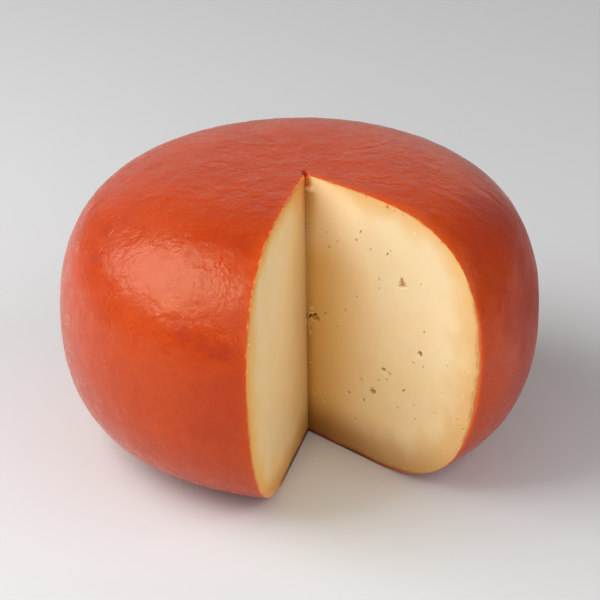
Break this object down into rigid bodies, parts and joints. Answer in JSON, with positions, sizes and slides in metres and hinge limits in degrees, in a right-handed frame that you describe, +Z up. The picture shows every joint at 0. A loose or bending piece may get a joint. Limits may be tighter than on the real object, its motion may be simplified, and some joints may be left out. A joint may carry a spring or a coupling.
{
  "type": "gouda cheese wheel with a wedge cut out",
  "caption": "Plump round gouda cheese in a smooth orange-red rind, with about a sixth cut out as a wedge so that two flat faces of pale yellow paste with small eyes show.",
  "frame": {"origin": "middle of the flat base, on the wheel's axis", "axes": "+Z up along the wheel's axis; the gap that the wedge left opens half way between +X and -Y"},
  "size_m": [0.2205, 0.2195, 0.1294],
  "materials": {
    "rind": "smooth orange-red cheese coating with a soft satin sheen, faint mottling and fine scratches; the two cut faces are bare pale yellow paste"
  },
  "bodies": {
    "root": {"cheese_wheel": "rind"}
  },
  "joints": []
}
